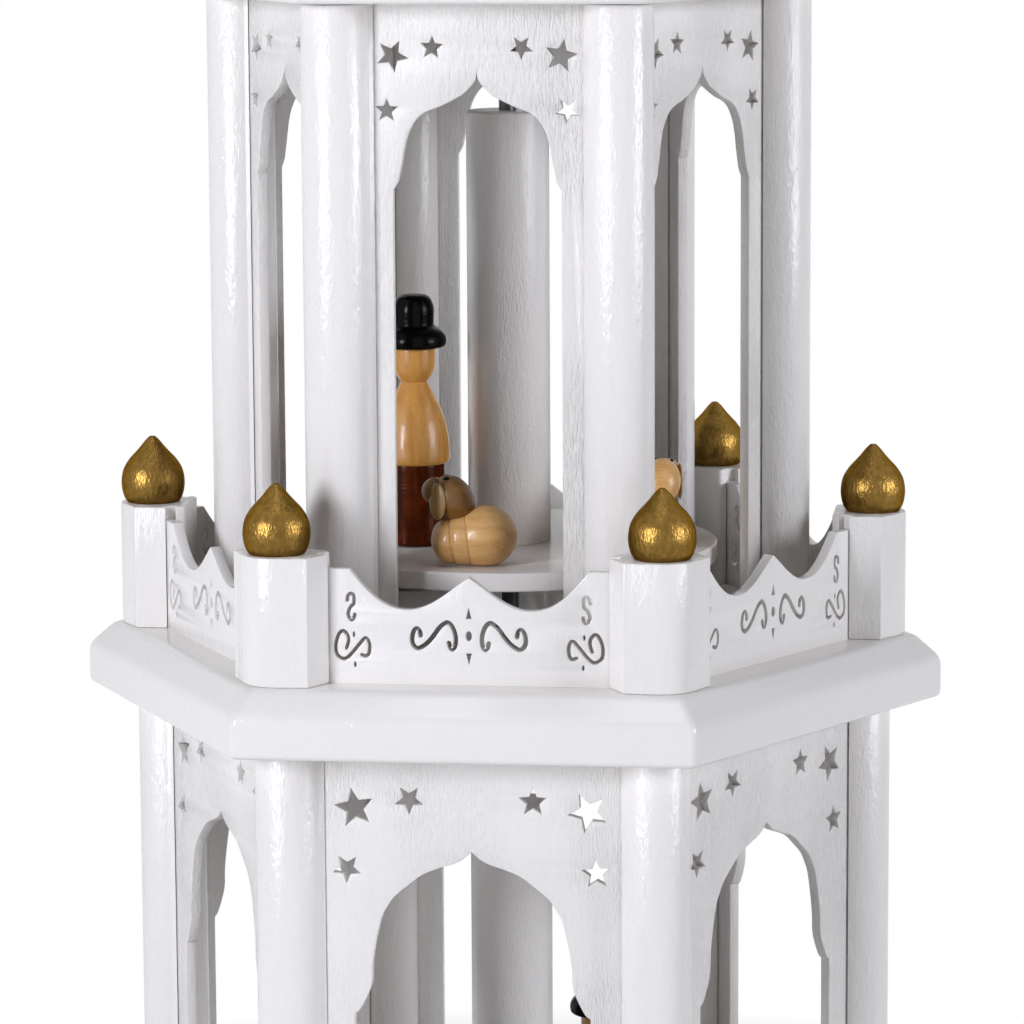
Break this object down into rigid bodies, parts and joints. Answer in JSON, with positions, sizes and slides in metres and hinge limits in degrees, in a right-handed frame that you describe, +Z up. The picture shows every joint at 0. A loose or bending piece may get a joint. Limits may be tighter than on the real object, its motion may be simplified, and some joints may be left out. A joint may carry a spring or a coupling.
{
  "type": "candle carousel",
  "caption": "Hexagonal two-storey candle carousel: arched walls between round posts, a fenced balcony with onion finials, and turntables with turned figures driven by a wing wheel.",
  "frame": {"origin": "on the axis of the carousel, at the underside of the base plate", "axes": "+Z up along the axis; the wall seen nearly square in the picture faces -Y, with +X to its right"},
  "size_m": [0.2834, 0.28, 0.3655],
  "materials": {
    "white_lacquer": "glossy white lacquer over wood and board, grain faintly raised",
    "gold_paint": "brushed-on gold paint, satin",
    "shaft_steel": "dark drawn rod",
    "turned_wood": "clear-lacquered turned wood, partly painted black and red-brown",
    "bearing_glass": "clear moulded glass",
    "cup_brass": "spun brass, satin"
  },
  "bodies": {
    "stand": {"base_plate": "white_lacquer", "balcony_plate": "white_lacquer", "top_plate": "white_lacquer", "lower_post_1": "white_lacquer", "lower_post_2": "white_lacquer", "lower_post_3": "white_lacquer", "lower_post_4": "white_lacquer", "lower_post_5": "white_lacquer", "lower_post_6": "white_lacquer", "lower_arch_1": "white_lacquer", "lower_arch_2": "white_lacquer", "lower_arch_3": "white_lacquer", "lower_arch_4": "white_lacquer", "lower_arch_5": "white_lacquer", "lower_arch_6": "white_lacquer", "upper_post_1": "white_lacquer", "upper_post_2": "white_lacquer", "upper_post_3": "white_lacquer", "upper_post_4": "white_lacquer", "upper_post_5": "white_lacquer", "upper_post_6": "white_lacquer", "upper_arch_1": "white_lacquer", "upper_arch_2": "white_lacquer", "upper_arch_3": "white_lacquer", "upper_arch_4": "white_lacquer", "upper_arch_5": "white_lacquer", "upper_arch_6": "white_lacquer", "balcony_post_1": "white_lacquer", "balcony_post_2": "white_lacquer", "balcony_post_3": "white_lacquer", "balcony_post_4": "white_lacquer", "balcony_post_5": "white_lacquer", "balcony_post_6": "white_lacquer", "fence_1": "white_lacquer", "fence_2": "white_lacquer", "fence_3": "white_lacquer", "fence_4": "white_lacquer", "fence_5": "white_lacquer", "fence_6": "white_lacquer", "finial_1": "gold_paint", "finial_2": "gold_paint", "finial_3": "gold_paint", "finial_4": "gold_paint", "finial_5": "gold_paint", "finial_6": "gold_paint", "candle_cup_1": "cup_brass", "candle_cup_2": "cup_brass", "candle_cup_3": "cup_brass", "candle_cup_4": "cup_brass", "candle_cup_5": "cup_brass", "candle_cup_6": "cup_brass", "bearing_cup": "bearing_glass"},
    "rotor": {"shaft": "shaft_steel", "lower_turntable": "white_lacquer", "upper_turntable": "white_lacquer", "wing_wheel": "white_lacquer", "lower_man": "turned_wood", "upper_man": "turned_wood", "front_sheep": "turned_wood", "side_sheep": "turned_wood"}
  },
  "joints": [
    {"name": "carousel_spin", "type": "hinge", "parent": "stand", "child": "rotor", "pos_m": [0, 0, 0.0166], "axis": [0, 0, 1], "continuous": true}
  ]
}
